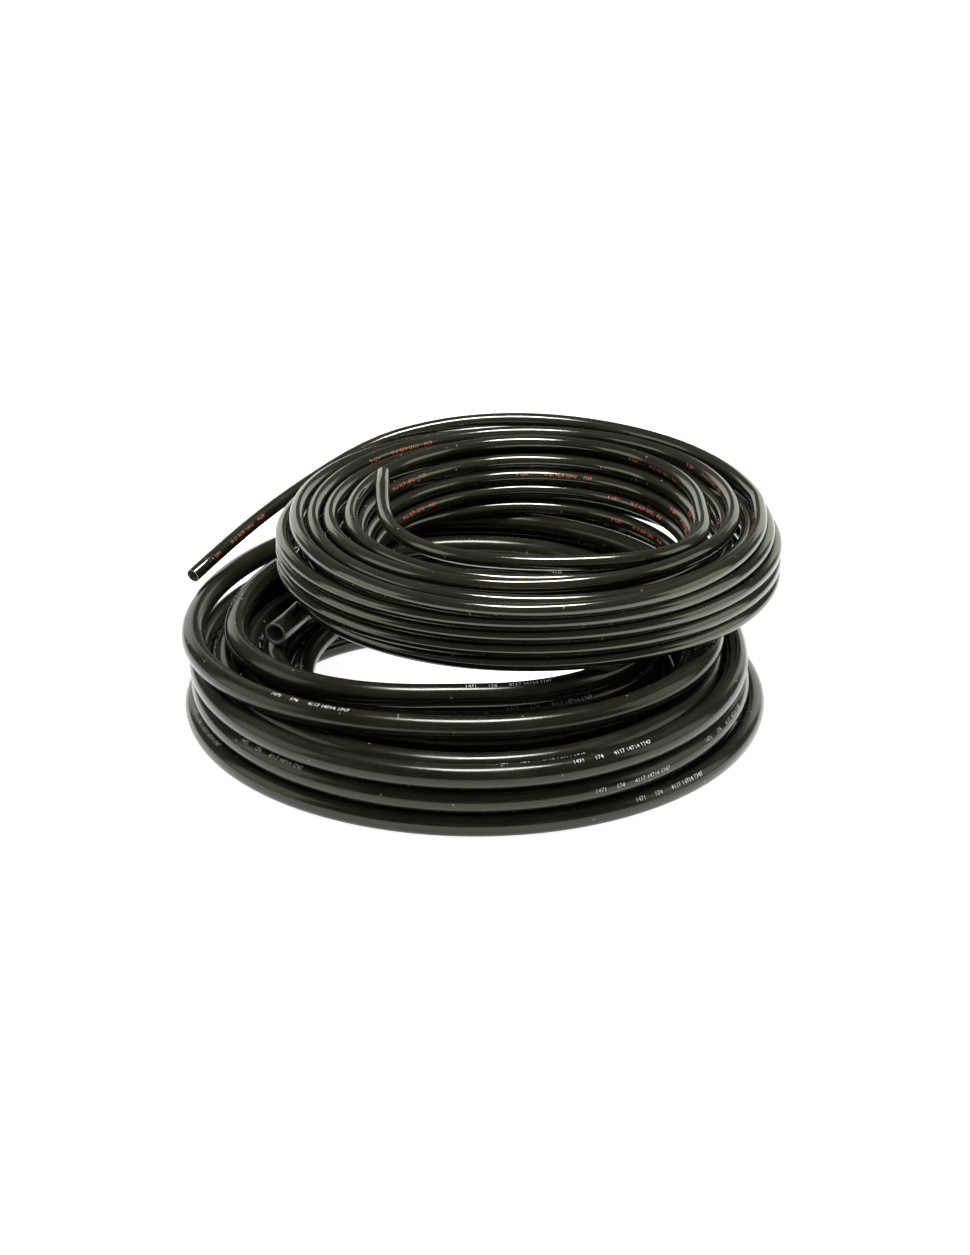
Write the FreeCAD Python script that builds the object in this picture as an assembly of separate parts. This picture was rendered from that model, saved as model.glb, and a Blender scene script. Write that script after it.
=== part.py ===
import FreeCAD, Part
import math
import os

from FreeCAD import Vector

# Two loose coils of soaker hose, one lying on the other.
# Lengths are in millimetres, +Z is up and the front of the pile faces -Y.

doc = FreeCAD.newDocument("soaker_hose")

# Driving dimensions
sizes = doc.addObject("Spreadsheet::Sheet", "Sizes")
sizes.Label = "sizes"
rows = [
    ("WideHoseOuter", 25.0),
    ("WideHoseWall", 3.0),
    ("SlimHoseOuter", 16.0),
    ("SlimHoseWall", 1.5),
    ("WideLayerGap", 1.2),
    ("SlimTurnGap", 0.8),
    ("FloorCut", 0.5),
    ("CoilClearance", 0.6),
    ("LowCentreX", -8.25),
    ("LowCentreY", -31.25),
    ("TopCentreX", 49.75),
    ("TopCentreY", 70.75),
]
for line, (alias, value) in enumerate(rows, start=1):
    sizes.set("A%d" % line, alias)
    sizes.set("B%d" % line, str(value))
    sizes.setAlias("B%d" % line, alias)
doc.recompute()

wideWidth = sizes.WideHoseOuter
slimWidth = sizes.SlimHoseOuter
rise = wideWidth + sizes.WideLayerGap
pitch = slimWidth + sizes.SlimTurnGap
floorAxis = wideWidth / 2.0 - sizes.FloorCut
topLayerAxis = floorAxis + 3 * rise
slimFootAxis = topLayerAxis + wideWidth / 2.0 + sizes.CoilClearance + slimWidth / 2.0
lowCentre = (sizes.LowCentreX, sizes.LowCentreY)
topCentre = (sizes.TopCentreX, sizes.TopCentreY)

# The sides of a coil, in the order in which the hose passes them
RIGHT, BACK, LEFT, FRONT = range(4)

# Wide coil: four layers, which go out, in, out and in again.
# Every reversal is at the back. The rims are the outermost radii at the four sides,
# and the gaps are what is left there between each loop and the next one further in:
# one number a loop, and the last one serves for all loops after it.
wideTurns = [4, 5, 4, 1.75]
wideRims = [
    (302.0, 312.0, 304.0, 297.0),
    (284.0, 312.0, 296.0, 296.0),
    (282.0, 320.0, 298.0, 296.0),
    (256.0, 328.0, 306.0, 240.0),
]
wideGaps = [
    ((1.5,), (1.5,), (2.0,), (2.0,)),
    ((2.5,), (2.0,), (2.0,), (2.0,)),
    ((0.8, 0.8, 11.0), (1.0, 9.0, 9.0, 25.0), (1.0,), (0.5, 24.0, 45.0)),
    ((41.0,), (9.0,), (21.0,), (49.0,)),
]
wideClimbs = [0.8, 0.85, 1.0]
wideInnerStart = 160.0

# Slim coil: four rings of turns side by side, wound down, up, down and up again.
# Each side has the radii of the four rings, inner ring first, at three heights.
slimTurns = [4.5, 4.5, 4.5, 4.5]
slimFoot = [
    (172.0, 215.0, 246.0, 272.0),
    (184.0, 206.0, 240.0, 262.0),
    (165.0, 208.0, 244.0, 271.0),
    (155.0, 192.0, 222.0, 246.0),
]
slimShoulder = [
    (184.0, 218.0, 246.0, 272.0),
    (190.0, 221.0, 241.0, 262.0),
    (187.0, 219.0, 246.0, 271.0),
    (165.0, 199.0, 226.0, 253.0),
]
slimTop = [
    (190.0, 213.0, 238.0, 254.0),
    (210.0, 226.0, 241.0, 257.0),
    (196.0, 219.0, 237.5, 255.0),
    (172.0, 200.0, 222.0, 263.0),
]
# Stations that lie above or below the even winding: where the first ring passes into the
# second, the turns lie flat, and the last turn rises on the left and sinks to the free end
slimLifts = {16: -7.0, 17: -4.0, 19: -3.6, 20: -7.5, 21: -10.0, 22: -5.8, 23: -2.0,
             70: 3.0, 72: -1.2}


def unit(angle):
    turn = math.radians(angle % 360.0)
    return Vector(math.cos(turn), math.sin(turn), 0.0)


# Stations of the wide coil, one each quarter turn, from its inner end on the floor
def wide_stations():
    bounds = [0]
    for turns in wideTurns:
        bounds.append(bounds[-1] + int(4 * turns))

    def loop_radius(layer, station, side):
        if layer % 2 == 0:
            quarters = bounds[layer + 1] - station
        else:
            quarters = station - bounds[layer]
        if layer == 3:
            quarters = station - bounds[3]
        loops = round(quarters / 4.0) if side == BACK else quarters // 4
        gaps = wideGaps[layer][side]
        inset = sum(wideWidth + gaps[min(loop, len(gaps) - 1)] for loop in range(loops))
        return wideRims[layer][side] - inset

    stations = []
    for station in range(bounds[-1] + 1):
        side = (BACK + station) % 4
        layer = 0
        while layer < 3 and station > bounds[layer + 1]:
            layer += 1
        radius = loop_radius(layer, station, side)
        height = floorAxis + rise * layer
        if station in bounds[1:4]:
            radius = (radius + loop_radius(layer + 1, station, side)) / 2.0
            height += rise * wideClimbs[layer]
        if station == 0:
            radius = wideInnerStart
        stations.append((radius, 90.0 * (BACK + station), height))
    return stations


# Stations of the slim coil, one each quarter turn, from its inner end at the top
def slim_stations():
    bounds = [0]
    for turns in slimTurns:
        bounds.append(bounds[-1] + int(4 * turns))
    shoulder = slimFootAxis + 3 * pitch
    brow = slimFootAxis + 4 * pitch

    def ring_radius(ring, side, height):
        if height < shoulder:
            part = (height - slimFootAxis) / (shoulder - slimFootAxis)
            low, high = slimFoot[side][ring], slimShoulder[side][ring]
        else:
            part = min(1.0, (height - shoulder) / (brow - shoulder))
            low, high = slimShoulder[side][ring], slimTop[side][ring]
        return low + (high - low) * part

    stations = []
    for station in range(bounds[-1] + 1):
        side = station % 4
        ring = 0
        while ring < 3 and station > bounds[ring + 1]:
            ring += 1
        turns = (station - bounds[ring]) / 4.0
        if ring % 2 == 0:
            height = slimFootAxis + pitch * (slimTurns[ring] - turns)
        else:
            height = slimFootAxis + pitch * turns
        radius = ring_radius(ring, side, height)
        if station in bounds[1:4]:
            radius = (radius + ring_radius(ring + 1, side, height)) / 2.0
        stations.append((radius, 90.0 * station, height + slimLifts.get(station, 0.0)))
    return stations


# Two arcs that join two stations and keep both directions
def arc_between(start, heading, end):
    chord = end - start
    along = Vector(chord).normalize()
    lean = heading - along * heading.dot(along)
    if lean.Length < 1e-7:
        return Part.LineSegment(start, end).toShape()
    swing = math.atan2(lean.Length, heading.dot(along))
    sag = chord.Length / 2.0 * math.tan(swing / 2.0)
    middle = (start + end) * 0.5 + lean.normalize() * sag
    return Part.Arc(start, middle, end).toShape()


def biarc(start, heading, end, leaving):
    chord = end - start
    both = heading + leaving
    bend = 2.0 * (1.0 - heading.dot(leaving))
    reach = chord.dot(both)
    if bend < 1e-9:
        arm = chord.Length ** 2 / (2.0 * reach)
    else:
        arm = (math.sqrt(reach ** 2 + bend * chord.Length ** 2) - reach) / bend
    joint = (start + end + (heading - leaving) * arm) * 0.5
    turned = (joint - start - heading * arm).normalize()
    return [arc_between(start, heading, joint), arc_between(joint, turned, end)]


# A coil's centre line: a straight lead, the biarcs and a straight tail
def coil_line(stations, centre, lead):
    middle = Vector(centre[0], centre[1], 0.0)
    points = [middle + unit(angle) * radius + Vector(0, 0, height)
              for radius, angle, height in stations]
    headings = []
    last = len(points) - 1
    for number, (radius, angle, height) in enumerate(stations):
        climb = 0.0
        if 0 < number < last:
            before = stations[number - 1][2]
            after = stations[number + 1][2]
            if (height - before) * (after - height) > 0.0:
                climb = (after - before) / (points[number + 1] - points[number - 1]).Length
        headings.append((unit(angle + 90.0) + Vector(0, 0, climb)).normalize())
    edges = [Part.LineSegment(points[0] - headings[0] * lead, points[0]).toShape()]
    for number in range(last):
        edges += biarc(points[number], headings[number],
                       points[number + 1], headings[number + 1])
    tail = points[last] + headings[last] * lead
    edges.append(Part.LineSegment(points[last], tail).toShape())
    return edges


# A free stretch: straight runs joined by arcs as large as the runs allow
def free_line(name, route, diameter):
    edges = []
    radii = []
    here = route[0]
    for number in range(1, len(route) - 1):
        corner = route[number]
        into = corner - route[number - 1]
        out = route[number + 1] - corner
        swing = into.getAngle(out)
        cut = 0.45 * min(into.Length, out.Length)
        radii.append(cut / math.tan(swing / 2.0) / diameter)
        start = corner - Vector(into).normalize() * cut
        end = corner + Vector(out).normalize() * cut
        edges.append(Part.LineSegment(here, start).toShape())
        edges.append(arc_between(start, Vector(into).normalize(), end))
        here = end
    edges.append(Part.LineSegment(here, route[-1]).toShape())
    print(name, "radii in diameters:", [round(value, 1) for value in radii])
    return edges


# A hose has an outer wall and a bore, and what lies on the floor is flattened there
def hose(name, edges, width, wall):
    outer = width / 2.0
    bore = outer - wall
    path = Part.Wire(edges)
    start = edges[0].valueAt(edges[0].FirstParameter)
    heading = edges[0].tangentAt(edges[0].FirstParameter)
    walls = []
    for radius in (outer, bore):
        ring = Part.Wire([Part.makeCircle(radius, start, heading)])
        walls.append(path.makePipeShell([ring], True, False))
    solid = walls[0].cut(walls[1])
    expected = math.pi * (outer ** 2 - bore ** 2) * path.Length
    print(name, "length %.0f mm," % path.Length,
          "volume against section times length %.4f" % (solid.Volume / expected))
    if solid.BoundBox.ZMin < -sizes.FloorCut / 2.0:
        ground = solid.BoundBox
        ground.enlarge(width)
        slab = Part.makeBox(ground.XLength, ground.YLength, width,
                            Vector(ground.XMin, ground.YMin, -width))
        solid = solid.cut(slab)
    return solid.Solids[0] if len(solid.Solids) == 1 else solid


# The least gap of a coil to itself, between points over eight diameters apart on it
def least_gap(name, edges, diameter):
    points = []
    travelled = 0.0
    for edge in edges:
        count = max(2, int(edge.Length / 6.0))
        span = edge.LastParameter - edge.FirstParameter
        for number in range(count):
            spot = edge.valueAt(edge.FirstParameter + span * number / count)
            points.append((spot.x, spot.y, spot.z, travelled + edge.Length * number / count))
        travelled += edge.Length
    nearest = 1e9
    apart = 8.0 * diameter
    for number, (x, y, z, here) in enumerate(points):
        for u, v, w, there in points[number + 1:]:
            if there - here > apart and abs(z - w) < 2 * diameter and abs(x - u) < 2 * diameter:
                away = (x - u) ** 2 + (y - v) ** 2 + (z - w) ** 2
                nearest = min(nearest, away)
    print(name, "least gap to itself %.2f mm" % (math.sqrt(nearest) - diameter))


# Free ends of the hoses, each from its coil to the cut mouth. Each point's third number
# is how far it lies above the coil's end, where the stretch begins.
wideTopRoute = [
    (181.75, 48.75, 0.0), (160.0, 102.0, 0.0), (119.0, 145.0, 0.0), (68.0, 176.0, 0.0),
    (2.0, 190.0, 0.0), (-70.0, 183.0, 0.0), (-134.0, 149.0, 0.0), (-174.0, 91.0, 0.0),
    (-194.0, 17.0, 0.0), (-224.0, -53.0, 1.4),
]
wideFloorRoute = [
    (76.75, 128.75, 0.0), (131.0, 104.0, 0.0),
]
slimOuterRoute = [
    (303.75, 111.0, 0.0), (278.0, 187.0, 1.2), (231.0, 252.0, 2.6), (167.0, 300.0, 4.4),
    (90.0, 328.0, 6.3), (13.0, 334.0, 6.0), (-62.0, 322.0, 1.2), (-136.0, 293.0, -10.8),
    (-222.0, 204.0, -37.1), (-282.0, 131.0, -60.6), (-322.9, 68.0, -79.6),
]
slimInnerRoute = [
    (239.75, -3.0, 0.0), (200.0, -63.0, 2.7), (130.0, -87.0, 3.7), (42.0, -85.0, 1.7),
    (-40.0, -59.0, -1.3), (-93.0, -1.0, -3.8), (-114.0, 77.0, -2.3), (-112.0, 149.0, 9.7),
]


def free_route(edge, atStart, points):
    here = edge.valueAt(edge.FirstParameter if atStart else edge.LastParameter)
    return [here] + [Vector(x, y, here.z + lift) for x, y, lift in points]


wideLine = coil_line(wide_stations(), lowCentre, wideWidth)
slimLine = coil_line(slim_stations(), topCentre, slimWidth)
least_gap("wide_coil", wideLine, wideWidth)
least_gap("slim_coil", slimLine, slimWidth)

# Name of each piece, its centre line, and the hose that it is cut from
WIDE = (wideWidth, sizes.WideHoseWall)
SLIM = (slimWidth, sizes.SlimHoseWall)
lines = [("wide_coil", wideLine, WIDE), ("slim_coil", slimLine, SLIM)]
for name, edge, atStart, route, kind in (
        ("wide_top_end", wideLine[-1], False, wideTopRoute, WIDE),
        ("wide_floor_end", wideLine[0], True, wideFloorRoute, WIDE),
        ("slim_outer_end", slimLine[-1], False, slimOuterRoute, SLIM),
        ("slim_inner_end", slimLine[0], True, slimInnerRoute, SLIM)):
    lines.append((name, free_line(name, free_route(edge, atStart, route), kind[0]), kind))

pieces = []
for name, edges, (width, wall) in lines:
    piece = doc.addObject("Part::Feature", name)
    piece.Label = name.replace("_", " ")
    piece.Shape = hose(name, edges, width, wall)
    piece.Placement = FreeCAD.Placement()
    pieces.append(piece)
doc.recompute()

# Checks, then one STEP file for each piece
os.makedirs("parts", exist_ok=True)
whole = None
for piece in pieces:
    if "Invalid" in piece.State or "Error" in piece.State:
        raise RuntimeError(piece.Name + " did not recompute")
    if piece.Shape.isNull() or not piece.Shape.isValid():
        raise RuntimeError(piece.Name + " has no valid shape")
    whole = piece.Shape.BoundBox if whole is None else whole.united(piece.Shape.BoundBox)
    piece.Shape.exportStep("parts/%s.step" % piece.Name)
print("whole x %.2f to %.2f, y %.2f to %.2f, z %.2f to %.2f" % (
    whole.XMin, whole.XMax, whole.YMin, whole.YMax, whole.ZMin, whole.ZMax))
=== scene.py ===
# Soaker hose: a slim hose's coil that lies on a wide hose's coil, seen from the front and above.
import bisect
import math

import bmesh
import bpy
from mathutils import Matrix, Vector


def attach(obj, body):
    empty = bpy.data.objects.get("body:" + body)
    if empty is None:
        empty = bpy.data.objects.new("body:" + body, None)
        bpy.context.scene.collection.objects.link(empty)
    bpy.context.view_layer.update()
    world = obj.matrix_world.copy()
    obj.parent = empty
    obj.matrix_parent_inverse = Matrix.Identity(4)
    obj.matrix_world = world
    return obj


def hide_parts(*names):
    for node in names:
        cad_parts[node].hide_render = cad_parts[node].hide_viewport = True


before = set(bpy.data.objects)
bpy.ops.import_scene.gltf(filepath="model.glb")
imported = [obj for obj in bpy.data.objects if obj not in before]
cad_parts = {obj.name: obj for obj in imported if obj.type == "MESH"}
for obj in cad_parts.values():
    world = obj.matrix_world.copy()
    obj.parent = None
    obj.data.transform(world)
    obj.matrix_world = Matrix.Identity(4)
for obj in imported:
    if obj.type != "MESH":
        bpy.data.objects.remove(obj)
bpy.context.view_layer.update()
bpy.ops.object.select_all(action="DESELECT")
scene = bpy.context.scene
scene.view_settings.view_transform = "Standard"
print("frame loaded with", len(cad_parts), "nodes")

# The camera, where the photograph was taken from
photoView = {
    "target": (-0.00825, -0.03125, 0.060),
    "distance": 3.0,
    "elevation": 25.58,
    "lens": 79.17,
    "shift": (0.0074, 0.0197),
    "sightEnd": 50.0,
}


def makeCamera(view):
    tilt = math.radians(view["elevation"])
    back = Vector((0.0, -math.cos(tilt), math.sin(tilt)))
    bpy.ops.object.camera_add(location=Vector(view["target"]) + back * view["distance"],
                              rotation=(math.radians(90.0) - tilt, 0.0, 0.0))
    camera = bpy.context.object
    camera.name = "photo_camera"
    camera.data.lens = view["lens"]
    camera.data.shift_x, camera.data.shift_y = view["shift"]
    camera.data.clip_end = view["sightEnd"]
    scene.camera = camera


makeCamera(photoView)
print("camera placed")

# The sides of a coil, in the order in which the hose passes them. Each hose's line has a
# station at every side of every turn, and control points on its way from one to the next.
sides = {"right": 0, "back": 1, "left": 2, "front": 3}
pointsPerQuarter = 9

# The wide hose. Radii and heights in metres; a coil's rims are its outermost radii at the
# right, back, left and front, and the gaps are what is left there between the loops.
wideHose = {
    "width": 0.025,
    "wall": 0.003,
    "floorCut": 0.0005,  # how much the floor flattens the hose's underside
    "centre": (-0.00825, -0.03125),
    "turns": [4, 5, 4, 1.75],
    "rims": [
        (0.302, 0.312, 0.304, 0.297),
        (0.284, 0.312, 0.296, 0.296),
        (0.282, 0.320, 0.298, 0.296),
        (0.256, 0.328, 0.306, 0.240),
    ],
    "gaps": [  # one number a loop, and the last one serves for all loops after it
        ((0.0015,), (0.0015,), (0.0020,), (0.0020,)),
        ((0.0025,), (0.0020,), (0.0020,), (0.0020,)),
        ((0.0008, 0.0008, 0.011), (0.001, 0.009, 0.009, 0.025), (0.001,), (0.0005, 0.024, 0.045)),
        ((0.041,), (0.009,), (0.021,), (0.049,)),
    ],
    "climbs": [0.8, 0.85, 1.0],  # shares of a layer's rise, at the change to the next layer
    "innerStart": 0.160,  # the coil's radius at its first station
    "layerRise": 0.0262,
    # the short stretch on the floor, from its open end to the coil
    "floorRoute": [(0.131, 0.104, 0.012), (0.07675, 0.12875, 0.012)],
    # the stretch that runs round inside the top layer, from the coil to its open end
    "topRoute": [
        (0.18175, 0.04875, 0.0906), (0.160, 0.102, 0.0906), (0.119, 0.145, 0.0906),
        (0.068, 0.176, 0.0906), (0.002, 0.190, 0.0906), (-0.070, 0.183, 0.0906),
        (-0.134, 0.149, 0.0906), (-0.174, 0.091, 0.0906), (-0.194, 0.017, 0.0906),
        (-0.224, -0.053, 0.092),
    ],
    "stepsPerPoint": 5,  # rings for each point of the line
    "around": 28,  # corners of a ring
}

# The slim hose. Each side has the radii of its four rings of turns, inner ring first,
# at the foot of the coil, at its shoulder and at its top.
slimHose = {
    "width": 0.016,
    "wall": 0.0015,
    "centre": (0.04975, 0.07075),
    "turns": [4.5, 4.5, 4.5, 4.5],
    "foot": [
        (0.172, 0.215, 0.246, 0.272),
        (0.184, 0.206, 0.240, 0.262),
        (0.165, 0.208, 0.244, 0.271),
        (0.155, 0.192, 0.222, 0.246),
    ],
    "shoulder": [
        (0.184, 0.218, 0.246, 0.272),
        (0.190, 0.221, 0.241, 0.262),
        (0.187, 0.219, 0.246, 0.271),
        (0.165, 0.199, 0.226, 0.253),
    ],
    "top": [
        (0.190, 0.213, 0.238, 0.254),
        (0.210, 0.226, 0.241, 0.257),
        (0.196, 0.219, 0.2375, 0.255),
        (0.172, 0.200, 0.222, 0.263),
    ],
    "shoulderTurn": 3,  # turns above the foot
    "topTurn": 4,
    # stations that lie above or below the even winding
    "lifts": {16: -0.007, 17: -0.004, 19: -0.0036, 20: -0.0075, 21: -0.010, 22: -0.0058,
              23: -0.002, 70: 0.003, 72: -0.0012},
    "turnRise": 0.0168,
    "clearance": 0.0006,  # between the two coils
    # the stretch that crosses the coil's hole, from its open end to the coil
    "innerRoute": [
        (-0.112, 0.149, 0.197), (-0.114, 0.077, 0.185), (-0.093, -0.001, 0.1835),
        (-0.040, -0.059, 0.186), (0.042, -0.085, 0.189), (0.130, -0.087, 0.191),
        (0.200, -0.063, 0.190), (0.23975, -0.003, 0.1873),
    ],
    # the stretch that runs on over the back of the coil and comes down to the left
    "outerRoute": [
        (0.30375, 0.111, 0.1861), (0.278, 0.187, 0.1873), (0.231, 0.252, 0.1887),
        (0.167, 0.300, 0.1905), (0.090, 0.328, 0.1924), (0.013, 0.334, 0.1921),
        (-0.062, 0.322, 0.1873), (-0.136, 0.293, 0.1753), (-0.222, 0.204, 0.149),
        (-0.282, 0.131, 0.1255), (-0.3229, 0.068, 0.1065),
    ],
    "stepsPerPoint": 4,
    "around": 28,
}


# The stations at which the layers or rings of a coil begin and end
def quarterBounds(turns):
    bounds = [0]
    for count in turns:
        bounds.append(bounds[-1] + int(4 * count))
    return bounds


# Stations of the wide coil, one each quarter turn, from its inner end on the floor
def wideStations(hose):
    bounds = quarterBounds(hose["turns"])
    floorAxis = hose["width"] / 2 - hose["floorCut"]

    def loopRadius(layer, station, side):
        quarters = station - bounds[layer]
        if layer % 2 == 0:  # wound outwards, so its loops are counted from its end
            quarters = bounds[layer + 1] - station
        loops = round(quarters / 4) if side == sides["back"] else quarters // 4
        gaps = hose["gaps"][layer][side]
        inset = sum(hose["width"] + gaps[min(loop, len(gaps) - 1)] for loop in range(loops))
        return hose["rims"][layer][side] - inset

    stations = []
    for station in range(bounds[-1] + 1):
        side = (sides["back"] + station) % 4
        layer = sum(station > bound for bound in bounds[1:-1])
        radius = loopRadius(layer, station, side)
        height = floorAxis + hose["layerRise"] * layer
        if station in bounds[1:-1]:
            radius = (radius + loopRadius(layer + 1, station, side)) / 2
            height += hose["layerRise"] * hose["climbs"][layer]
        if station == 0:
            radius = hose["innerStart"]
        stations.append((radius, sides["back"] + station, height))
    return stations


# Stations of the slim coil, one each quarter turn, from its inner end at the top
def slimStations(hose, under):
    bounds = quarterBounds(hose["turns"])
    layersUp = len(under["turns"]) - 1
    topLayerAxis = under["width"] / 2 - under["floorCut"] + layersUp * under["layerRise"]
    foot = topLayerAxis + under["width"] / 2 + hose["clearance"] + hose["width"] / 2
    shoulder = foot + hose["shoulderTurn"] * hose["turnRise"]
    top = foot + hose["topTurn"] * hose["turnRise"]

    def ringRadius(ring, side, height):
        if height < shoulder:
            part = (height - foot) / (shoulder - foot)
            low, high = hose["foot"][side][ring], hose["shoulder"][side][ring]
        else:
            part = min(1.0, (height - shoulder) / (top - shoulder))
            low, high = hose["shoulder"][side][ring], hose["top"][side][ring]
        return low + (high - low) * part

    stations = []
    for station in range(bounds[-1] + 1):
        side = station % 4
        ring = sum(station > bound for bound in bounds[1:-1])
        turns = (station - bounds[ring]) / 4
        if ring % 2 == 0:  # wound downwards
            turns = hose["turns"][ring] - turns
        height = foot + hose["turnRise"] * turns
        radius = ringRadius(ring, side, height)
        if station in bounds[1:-1]:
            radius = (radius + ringRadius(ring + 1, side, height)) / 2
        stations.append((radius, station, height + hose["lifts"].get(station, 0)))
    return stations


def eased(a, b, slopeA, slopeB, t):  # a smooth way from a to b with these slopes at its ends
    return ((2 * t ** 3 - 3 * t ** 2 + 1) * a + (t ** 3 - 2 * t ** 2 + t) * slopeA
            + (3 * t ** 2 - 2 * t ** 3) * b + (t ** 3 - t ** 2) * slopeB)


# A coil's turns as control points. A spline cuts inside the corners of its polygon,
# so the points between the first and the last lie that much further out.
def coilPoints(stations, centre):
    outward = 1 / math.cos(math.radians(90.0) / pointsPerQuarter / 2)
    heights = [station[2] for station in stations]
    climbs = [0.0] * len(stations)
    for number in range(1, len(stations) - 1):
        before, here, after = heights[number - 1:number + 2]
        if (here - before) * (after - here) > 0:
            climbs[number] = (after - before) / 2

    def place(reach, quarters, height):
        turn = math.radians(90.0 * quarters)
        return (centre[0] + reach * math.cos(turn), centre[1] + reach * math.sin(turn), height)

    points = []
    for number in range(len(stations) - 1):
        radius, quarter, height = stations[number]
        nextRadius, _, nextHeight = stations[number + 1]
        for step in range(pointsPerQuarter):
            t = step / pointsPerQuarter
            reach = eased(radius, nextRadius, 0.0, 0.0, t) * (outward if points else 1.0)
            points.append(place(reach, quarter + t,
                                eased(height, nextHeight, climbs[number], climbs[number + 1], t)))
    points.append(place(*stations[-1]))
    return points


# The route's smooth line: one open NURBS spline, read as points
def readLine(points, stepsPerPoint):
    curve = bpy.data.curves.new("hose_route", "CURVE")
    curve.dimensions = "3D"
    curve.resolution_u = stepsPerPoint
    spline = curve.splines.new("NURBS")
    spline.points.add(len(points) - 1)
    for spot, point in zip(spline.points, points):
        spot.co = (*point, 1.0)
    spline.order_u = 3
    spline.use_endpoint_u = True
    spline.resolution_u = stepsPerPoint
    route = bpy.data.objects.new("hose_route", curve)
    mesh = bpy.data.meshes.new_from_object(route)
    line = [vertex.co.copy() for vertex in mesh.vertices]
    bpy.data.meshes.remove(mesh)
    bpy.data.objects.remove(route)
    bpy.data.curves.remove(curve)
    return line


# Each point of a line with its length so far, and its directions to the side, up and along
def frames(line):
    made = []
    travelled = 0.0
    for number, point in enumerate(line):
        before = line[max(number - 1, 0)]
        after = line[min(number + 1, len(line) - 1)]
        along = (after - before).normalized()
        side = along.cross(Vector((0.0, 0.0, 1.0))).normalized()
        if number:
            travelled += (point - line[number - 1]).length
        made.append((travelled, point, side, side.cross(along).normalized(), along))
    return made


# The cut ends: how far in the bore is modelled, how much the cut's edges are rounded, and
# how near to the edge the middle of the rounding lies, as a share of it
cutEnd = {
    "boreDepth": 0.16,
    "rounding": 0.0004,
    "middle": 0.3,
}
# the bore slot holds the painted shade of the hose's inside, and the discs that close it
rubberSlots = {"skin": 0, "cut": 1, "bore": 2}


# One hose as a tube from cut to cut, with its bore open at both ends; a short way in, dark discs
# of painted shade close the bore
def hoseMesh(name, line, hose):
    outer = hose["width"] / 2
    bore = outer - hose["wall"]
    rounding = cutEnd["rounding"]
    middle = rounding * cutEnd["middle"]
    clear = rounding * 2  # the bore's rings keep off the rounded edge
    spots = frames(line)
    total = spots[-1][0]
    atMouth = [(bore, rounding), (bore + middle, middle), (bore + rounding, 0.0),
               (outer - rounding, 0.0), (outer - middle, middle)]
    shifts = [rounding] + [0.0] * (len(spots) - 2) + [-rounding]
    rings = []  # (spot, radius, shift along, part)
    for spot in reversed(spots):
        if clear < spot[0] < cutEnd["boreDepth"]:
            rings.append((spot, bore, 0.0, "bore"))
    for radius, shift in atMouth:
        rings.append((spots[0], radius, shift, "cut"))
    for spot, shift in zip(spots, shifts):
        rings.append((spot, outer, shift, "skin"))
    for radius, shift in reversed(atMouth):
        rings.append((spots[-1], radius, -shift, "cut"))
    for spot in reversed(spots):
        if clear < total - spot[0] < cutEnd["boreDepth"]:
            rings.append((spot, bore, 0.0, "bore"))

    around = hose["around"]
    corners = []
    alongside = []  # each corner's place on a straightened hose, for the streaks
    for (travelled, point, side, up, along), radius, shift, _ in rings:
        for number in range(around):
            angle = math.radians(360.0 * number / around - 90.0)  # from the underside round
            out = side * math.cos(angle) + up * math.sin(angle)
            place = point + along * shift + out * radius
            if hose.get("floorCut"):
                place.z = max(place.z, 0.0)
            corners.append(place)
            alongside += (radius * math.cos(angle), radius * math.sin(angle), travelled + shift)
    faces = []
    slots = []
    for ring in range(len(rings) - 1):
        first, second = ring * around, (ring + 1) * around
        parts = (rings[ring][3], rings[ring + 1][3])
        for number in range(around):
            following = (number + 1) % around
            faces.append((first + number, second + number, second + following, first + following))
            slots.append(rubberSlots["cut" if "cut" in parts else parts[0]])
    # The bore ends a short way in, closed by discs in the bore's painted-shade finish
    lastRing = (len(rings) - 1) * around
    faces.append(tuple(range(around)))
    faces.append(tuple(reversed(range(lastRing, lastRing + around))))
    slots += [rubberSlots["bore"]] * 2
    mesh = bpy.data.meshes.new(name)
    mesh.from_pydata(corners, [], faces)
    mesh.polygons.foreach_set("material_index", slots)
    mesh.polygons.foreach_set("use_smooth", [True] * len(faces))
    spread = mesh.attributes.new("hosePlace", "FLOAT_VECTOR", "POINT")
    spread.data.foreach_set("vector", alongside)
    mesh.update()
    piece = bpy.data.objects.new(name, mesh)
    scene.collection.objects.link(piece)
    return piece


# A new material with its nodes, its shader and the object's own coordinates
def startMaterial(name):
    material = bpy.data.materials.new(name)
    material.use_nodes = True
    tree = material.node_tree
    return material, tree, tree.nodes["Principled BSDF"], tree.nodes.new("ShaderNodeTexCoord")


# A node with these values, and a place to read if there is a source of one
def nodeOf(tree, kind, source=None, **values):
    node = tree.nodes.new(kind)
    for name, value in values.items():
        node.inputs[name].default_value = value
    if source is not None:
        tree.links.new(source, node.inputs["Vector"])
    return node


def rangeOf(tree, source, starts, ends=(0.0, 1.0)):  # a value's range brought to another
    node = tree.nodes.new("ShaderNodeMapRange")
    node.inputs["From Min"].default_value, node.inputs["From Max"].default_value = starts
    node.inputs["To Min"].default_value, node.inputs["To Max"].default_value = ends
    tree.links.new(source, node.inputs["Value"])
    return node.outputs["Result"]


def mixOf(tree, amount, second):  # a colour mix, its first colour still to be given
    node = tree.nodes.new("ShaderNodeMix")
    node.data_type = "RGBA"
    node.inputs["B"].default_value = second
    tree.links.new(amount, node.inputs["Factor"])
    return node


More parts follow.
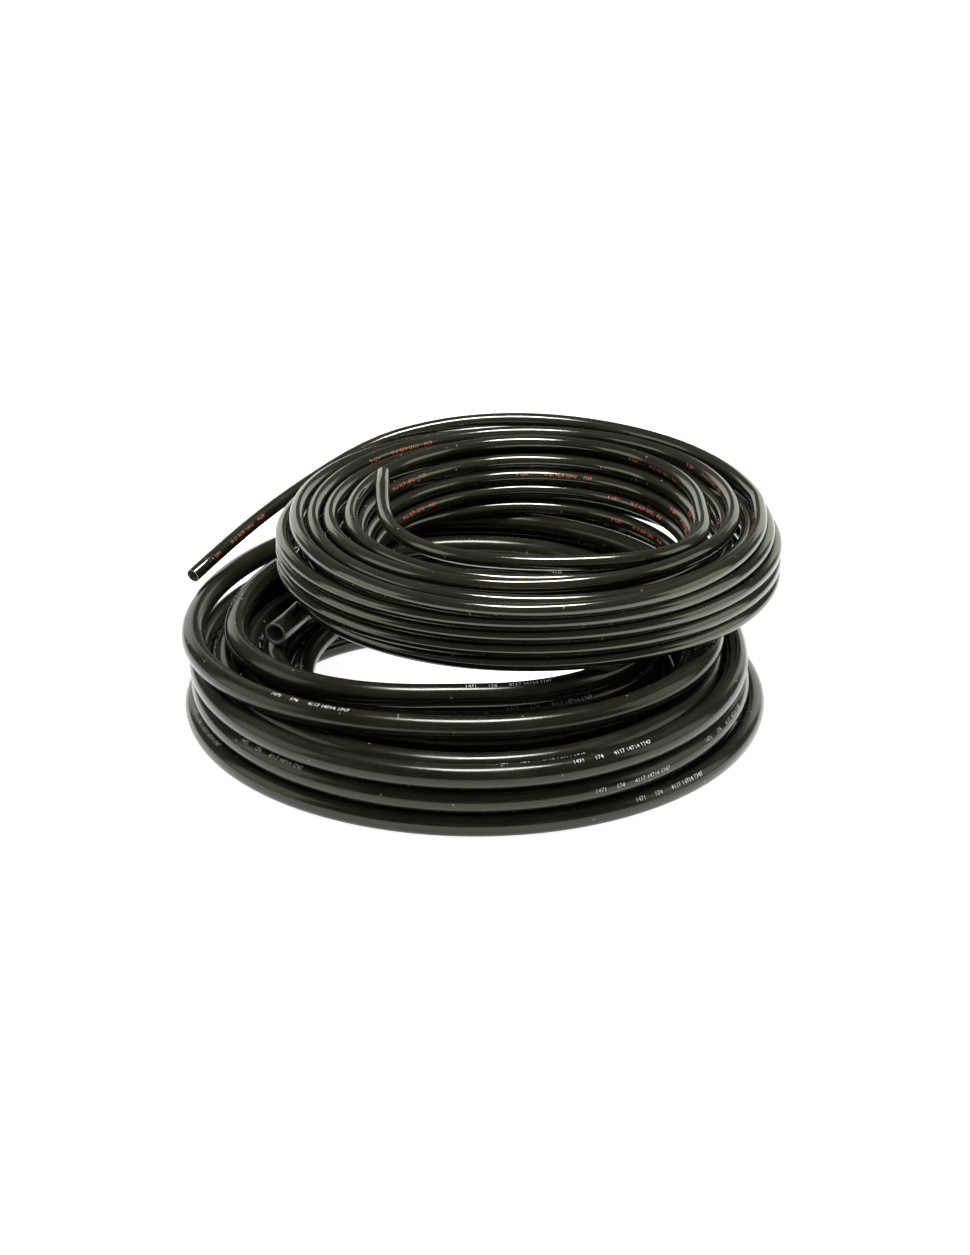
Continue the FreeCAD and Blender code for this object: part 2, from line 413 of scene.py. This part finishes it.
# Black hose rubber. The streaks run along the hose, the grain is even all over,
# and a little pale dust lies on it.
rubber = {
    "gleam": (0.96, 1.0, 0.76, 1),  # the olive cast of its reflections
    "streaks": (260.0, 260.0, 9.0),  # per metre, both ways across the hose and along it
    "streakNoise": {"Scale": 1.0, "Detail": 3.0, "Roughness": 0.55},
    "clouds": {"Scale": 14.0, "Detail": 3.0, "Roughness": 0.6},
    "grain": {"Scale": 900.0, "Detail": 2.0, "Roughness": 0.6},
    "paling": (0.18, 0.42),  # streaks times clouds, from the colour to the pale one
    "dustCells": {"Scale": 52.0},
    "dustEdge": (0.075, 0.045),  # from no dust to dust, in shares of a cell
    "cloudReach": (0.30, 0.70),  # the clouds' values, for the least and the most roughness
    "drawnMarks": {"Strength": 0.25, "Distance": 0.0002},
    "grainStrength": 0.35,
}
wideRubber = {
    "colour": (0.008, 0.008, 0.004, 1),
    "pale": (0.019, 0.019, 0.011, 1),
    "dust": (0.20, 0.19, 0.15, 1),
    "rough": (0.13, 0.26),
    "shine": 0.42,
    "grainDepth": 0.00014,
}
slimRubber = {
    "colour": (0.008, 0.008, 0.004, 1),
    "pale": (0.016, 0.016, 0.009, 1),
    "dust": (0.18, 0.17, 0.14, 1),
    "rough": (0.08, 0.18),
    "shine": 1.0,
    "grainDepth": 0.00008,
}


def makeRubber(name, look):
    material, tree, shader, coords = startMaterial(name)
    link = tree.links.new
    shader.inputs["Specular IOR Level"].default_value = look["shine"]
    shader.inputs["Specular Tint"].default_value = rubber["gleam"]
    place = tree.nodes.new("ShaderNodeAttribute")
    place.attribute_name = "hosePlace"
    stretch = nodeOf(tree, "ShaderNodeMapping", place.outputs["Vector"], Scale=rubber["streaks"])
    streaks = nodeOf(tree, "ShaderNodeTexNoise", stretch.outputs["Vector"], **rubber["streakNoise"])
    clouds = nodeOf(tree, "ShaderNodeTexNoise", coords.outputs["Object"], **rubber["clouds"])
    grain = nodeOf(tree, "ShaderNodeTexNoise", coords.outputs["Object"], **rubber["grain"])
    specks = nodeOf(tree, "ShaderNodeTexVoronoi", coords.outputs["Object"], **rubber["dustCells"])
    # colour: black with an olive cast, paler along some streaks, then the dust
    both = tree.nodes.new("ShaderNodeMath")
    both.operation = "MULTIPLY"
    link(streaks.outputs["Fac"], both.inputs[0])
    link(clouds.outputs["Fac"], both.inputs[1])
    shade = mixOf(tree, rangeOf(tree, both.outputs["Value"], rubber["paling"]), look["pale"])
    shade.inputs["A"].default_value = look["colour"]
    isDust = rangeOf(tree, specks.outputs["Distance"], rubber["dustEdge"])
    dusty = mixOf(tree, isDust, look["dust"])
    link(shade.outputs["Result"], dusty.inputs["A"])
    link(dusty.outputs["Result"], shader.inputs["Base Color"])
    # gloss: the clouds make it uneven
    gloss = rangeOf(tree, clouds.outputs["Fac"], rubber["cloudReach"], look["rough"])
    link(gloss, shader.inputs["Roughness"])
    # surface: fine grain over faint lengthwise drawing marks
    drawn = nodeOf(tree, "ShaderNodeBump", **rubber["drawnMarks"])
    link(streaks.outputs["Fac"], drawn.inputs["Height"])
    grained = nodeOf(tree, "ShaderNodeBump", Strength=rubber["grainStrength"],
                     Distance=look["grainDepth"])
    link(grain.outputs["Fac"], grained.inputs["Height"])
    link(drawn.outputs["Normal"], grained.inputs["Normal"])
    link(grained.outputs["Normal"], shader.inputs["Normal"])
    return material


# Matt finishes, each of two tones with fine noise between them. The cut is the same rubber,
# greyer, with the saw's faint marks; deep in the bore it is painted nearly black and dull, as
# painted shade for the inside of the hose.
cutLook = {
    "tones": [(0.080, 0.080, 0.068, 1), (0.230, 0.226, 0.195, 1)],
    "stops": (0.30, 0.75),
    "noise": {"Scale": 1400.0, "Detail": 3.0, "Roughness": 0.5},
    "rough": 0.6,
    "shine": 0.5,
    "sawMarks": {"Strength": 0.5, "Distance": 0.0002},
}
# painted shade: the bore's inside, made nearly black and dull
boreShadeLook = {
    "tones": [(0.003, 0.003, 0.002, 1), (0.009, 0.009, 0.006, 1)],
    "stops": (0.0, 1.0),
    "noise": {"Scale": 500.0, "Detail": 2.0, "Roughness": 0.5},
    "rough": 0.7,
    "shine": 0.15,
}


def makeMatt(name, look, tones):
    material, tree, shader, coords = startMaterial(name)
    link = tree.links.new
    shader.inputs["Roughness"].default_value = look["rough"]
    shader.inputs["Specular IOR Level"].default_value = look["shine"]
    noise = nodeOf(tree, "ShaderNodeTexNoise", coords.outputs["Object"], **look["noise"])
    ramp = tree.nodes.new("ShaderNodeValToRGB")
    for element, stop, tone in zip(ramp.color_ramp.elements, look["stops"], tones):
        element.position = stop
        element.color = tone
    link(noise.outputs["Fac"], ramp.inputs["Fac"])
    link(ramp.outputs["Color"], shader.inputs["Base Color"])
    if "sawMarks" in look:
        marks = nodeOf(tree, "ShaderNodeBump", **look["sawMarks"])
        link(noise.outputs["Fac"], marks.inputs["Height"])
        link(marks.outputs["Normal"], shader.inputs["Normal"])
    return material


cutRubber = makeMatt("cut_rubber", cutLook, cutLook["tones"])
boreShadeRubber = makeMatt("bore_painted_shade", boreShadeLook, boreShadeLook["tones"])


def makeHose(name, hose, points, look, body, nodes):
    line = readLine(points, hose["stepsPerPoint"])
    piece = hoseMesh(name, line, hose)
    for material in (makeRubber(name + "_rubber", look), cutRubber, boreShadeRubber):
        piece.data.materials.append(material)
    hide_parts(*nodes)
    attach(piece, body)
    print(name, "made with", len(line), "rings and", len(piece.data.polygons), "faces")
    return piece, line


# Plain numbers printed along each hose. A print is a few words, given by how far along the
# print each begins, and it repeats all along the hose, turning round it a little. Those that
# are seen from the photograph's side have places of their own: metres along the hose, and
# degrees round it from its outer side upwards.
printing = {
    "every": 0.5,
    "bareEnd": 1.0,  # this much at the hose's far end has no repeated print
    "apart": 0.3,  # the least distance of a repeated print from a shown one
    "turning": 1.7,  # how fast the repeated prints turn, in radians a metre
    "lift": 0.00008,
    "bands": 4,
    "outlineSteps": 2,
    "mergeWithin": 1e-6,
}
widePrint = {
    "words": [(0.0, "1471"), (0.0235, "174"), (0.0450, "4117 14714 1747")],
    "height": 0.0046,
    "size": 0.0064,
    "shown": [(21.155, 80), (22.972, 78), (14.83, 43), (19.607, 62), (7.33, 58), (5.298, 70),
              (7.87, 38), (5.87, 42), (7.72, 12)],
    "wander": (90, 70),  # the repeated prints' middle angle, and how far they turn from it
    "ink": (0.92, 0.92, 0.88, 1),
    "worn": (0.30, 0.30, 0.27, 1),
}
slimPrint = {
    "words": [(0.0, "4714"), (0.0195, "71471 4174 17 41"), (0.0785, "1471 4")],
    "height": 0.0040,
    "size": 0.0056,
    "shown": [(12.19, 158), (9.36, 148), (3.178, 142), (4.172, 146), (0.70, 190), (2.95, 148),
              (4.49, 150), (26.633, 145)],
    "wander": (158, 14),
    "ink": (0.72, 0.20, 0.12, 1),
    "worn": (0.30, 0.10, 0.06, 1),
}
inkLook = {
    "stops": (0.40, 0.52),
    "noise": {"Scale": 420.0, "Detail": 3.0, "Roughness": 0.6},
    "rough": 0.45,
    "shine": 0.5,
}


# One print, laid out flat, as corners and faces, cut in bands so that it can bend round a hose
def flatPrint(look):
    corners = []
    faces = []
    for offset, digits in look["words"]:
        bpy.ops.object.text_add()
        word = bpy.context.object
        word.data.body = digits
        word.data.size = look["size"]
        word.data.resolution_u = printing["outlineSteps"]
        bpy.ops.object.convert(target="MESH")
        shape = bmesh.new()
        shape.from_mesh(word.data)
        bmesh.ops.remove_doubles(shape, verts=shape.verts, dist=printing["mergeWithin"])
        for band in range(1, printing["bands"]):
            everything = shape.verts[:] + shape.edges[:] + shape.faces[:]
            across = look["height"] * band / printing["bands"]
            bmesh.ops.bisect_plane(shape, geom=everything, plane_no=(0.0, 1.0, 0.0),
                                   plane_co=(0.0, across, 0.0))
        shape.verts.index_update()
        first = len(corners)
        corners += [(corner.co.x + offset, corner.co.y) for corner in shape.verts]
        faces += [[first + corner.index for corner in face.verts] for face in shape.faces]
        shape.free()
        bpy.ops.object.delete()
    return corners, faces


# The prints bent round their hose
def makePrint(name, hose, line, look, body):
    spots = frames(line)
    lengths = [spot[0] for spot in spots]
    radius = hose["width"] / 2
    flatCorners, flatFaces = flatPrint(look)
    places = list(look["shown"])
    middle, swing = look["wander"]
    start = printing["every"] / 2
    while start < lengths[-1] - printing["bareEnd"]:
        if all(abs(start - shown[0]) > printing["apart"] for shown in look["shown"]):
            places.append((start, middle + swing * math.sin(printing["turning"] * start)))
        start += printing["every"]
    corners = []
    faces = []
    for start, angle in places:
        first = len(corners)
        for x, y in flatCorners:
            number = bisect.bisect(lengths, start + x) - 1
            share = (start + x - lengths[number]) / (lengths[number + 1] - lengths[number])
            point, side, up = (spots[number][part].lerp(spots[number + 1][part], share)
                               for part in (1, 2, 3))
            turn = math.radians(angle) + (y - look["height"] / 2) / radius
            out = (side * math.cos(turn) + up * math.sin(turn)).normalized()
            corners.append(point + out * (radius + printing["lift"]))
        faces += [[first + corner for corner in face] for face in flatFaces]
    mesh = bpy.data.meshes.new(name)
    mesh.from_pydata(corners, [], faces)
    mesh.update()
    piece = bpy.data.objects.new(name, mesh)
    scene.collection.objects.link(piece)
    piece.data.materials.append(makeMatt(name + "_ink", inkLook, (look["worn"], look["ink"])))
    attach(piece, body)
    print(name, "made with", len(places), "prints and", len(faces), "faces")
    return piece


widePoints = (wideHose["floorRoute"] + coilPoints(wideStations(wideHose), wideHose["centre"])
              + wideHose["topRoute"])
slimPoints = (slimHose["innerRoute"]
              + coilPoints(slimStations(slimHose, wideHose), slimHose["centre"])
              + slimHose["outerRoute"])
widePiece, wideLine = makeHose("wide_hose_tube", wideHose, widePoints, wideRubber,
                               "wide_hose",
                               ("wide_coil", "wide_top_end", "wide_floor_end"))
slimPiece, slimLine = makeHose("slim_hose_tube", slimHose, slimPoints, slimRubber,
                               "slim_hose",
                               ("slim_coil", "slim_outer_end", "slim_inner_end"))
wideNumbers = makePrint("wide_hose_numbers", wideHose, wideLine, widePrint, "wide_hose")
slimNumbers = makePrint("slim_hose_numbers", slimHose, slimLine, slimPrint, "slim_hose")

# Floor, light and air. The camera sees both the floor and the air as white.
studio = {
    "floorSize": 14.0,
    "floorColour": (0.86, 0.86, 0.85, 1),
    "floorGlow": 0.92,
    "airSeen": {"Color": (1, 1, 1, 1), "Strength": 1.0},
    "airLight": {"Color": (1.0, 0.985, 0.95, 1), "Strength": 0.16},
    "aim": (0.0, 0.0, 0.08),
    "lamps": [
        # name, place, size, watts, colour
        ("overhead", (0.05, -0.10, 1.85), (0.8, 0.42), 46.0, (0.92, 0.90, 1.0)),
        ("left_panel", (-1.7, -0.3, 0.75), (1.2, 1.2), 6.0, (1.0, 1.0, 0.95)),
        ("right_panel", (1.7, -0.2, 0.75), (1.2, 1.2), 6.0, (1.0, 1.0, 0.95)),
        ("left_backdrop", (-1.45, 2.9, 0.90), (1.9, 1.6), 14.0, (1.0, 1.0, 0.93)),
        ("right_backdrop", (1.55, 2.9, 0.90), (1.9, 1.6), 14.0, (1.0, 1.0, 0.93)),
    ],
}


# One shader for the camera and for one more kind of ray, and another for all other rays
def whiteToCamera(tree, seen, unseen, output, otherRay):
    rays = tree.nodes.new("ShaderNodeLightPath")
    either = tree.nodes.new("ShaderNodeMath")
    either.operation = "MAXIMUM"
    mix = tree.nodes.new("ShaderNodeMixShader")
    tree.links.new(rays.outputs["Is Camera Ray"], either.inputs[0])
    tree.links.new(rays.outputs[otherRay], either.inputs[1])
    tree.links.new(either.outputs["Value"], mix.inputs["Fac"])
    tree.links.new(unseen, mix.inputs[1])
    tree.links.new(seen, mix.inputs[2])
    tree.links.new(mix.outputs["Shader"], output)


def makeFloor(look):
    bpy.ops.mesh.primitive_plane_add(size=look["floorSize"], location=(0.0, 0.0, 0.0))
    floor = bpy.context.object
    floor.name = "studio_floor"
    material = bpy.data.materials.new("studio_floor")
    material.use_nodes = True
    tree = material.node_tree
    tree.nodes.remove(tree.nodes["Principled BSDF"])
    matt = nodeOf(tree, "ShaderNodeBsdfDiffuse", Color=look["floorColour"])
    glow = nodeOf(tree, "ShaderNodeEmission", Strength=look["floorGlow"])
    lit = tree.nodes.new("ShaderNodeAddShader")
    tree.links.new(matt.outputs["BSDF"], lit.inputs[0])
    tree.links.new(glow.outputs["Emission"], lit.inputs[1])
    whiteToCamera(tree, lit.outputs["Shader"], matt.outputs["BSDF"],
                  tree.nodes["Material Output"].inputs["Surface"], "Is Glossy Ray")
    floor.data.materials.append(material)


def makeAir(look):
    world = bpy.data.worlds.new("studio_air")
    world.use_nodes = True
    scene.world = world
    tree = world.node_tree
    tree.nodes.remove(tree.nodes["Background"])
    seen = nodeOf(tree, "ShaderNodeBackground", **look["airSeen"])
    light = nodeOf(tree, "ShaderNodeBackground", **look["airLight"])
    whiteToCamera(tree, seen.outputs["Background"], light.outputs["Background"],
                  tree.nodes["World Output"].inputs["Surface"], "Is Transmission Ray")


def makeLamps(look):
    for name, place, size, watts, colour in look["lamps"]:
        turned = (Vector(look["aim"]) - Vector(place)).to_track_quat("-Z", "Y").to_euler()
        bpy.ops.object.light_add(type="AREA", location=place, rotation=turned)
        lamp = bpy.context.object
        lamp.name = name
        lamp.data.shape = "RECTANGLE"
        lamp.data.size, lamp.data.size_y = size
        lamp.data.energy = watts
        lamp.data.color = colour


makeFloor(studio)
makeAir(studio)
makeLamps(studio)
print("studio lit")
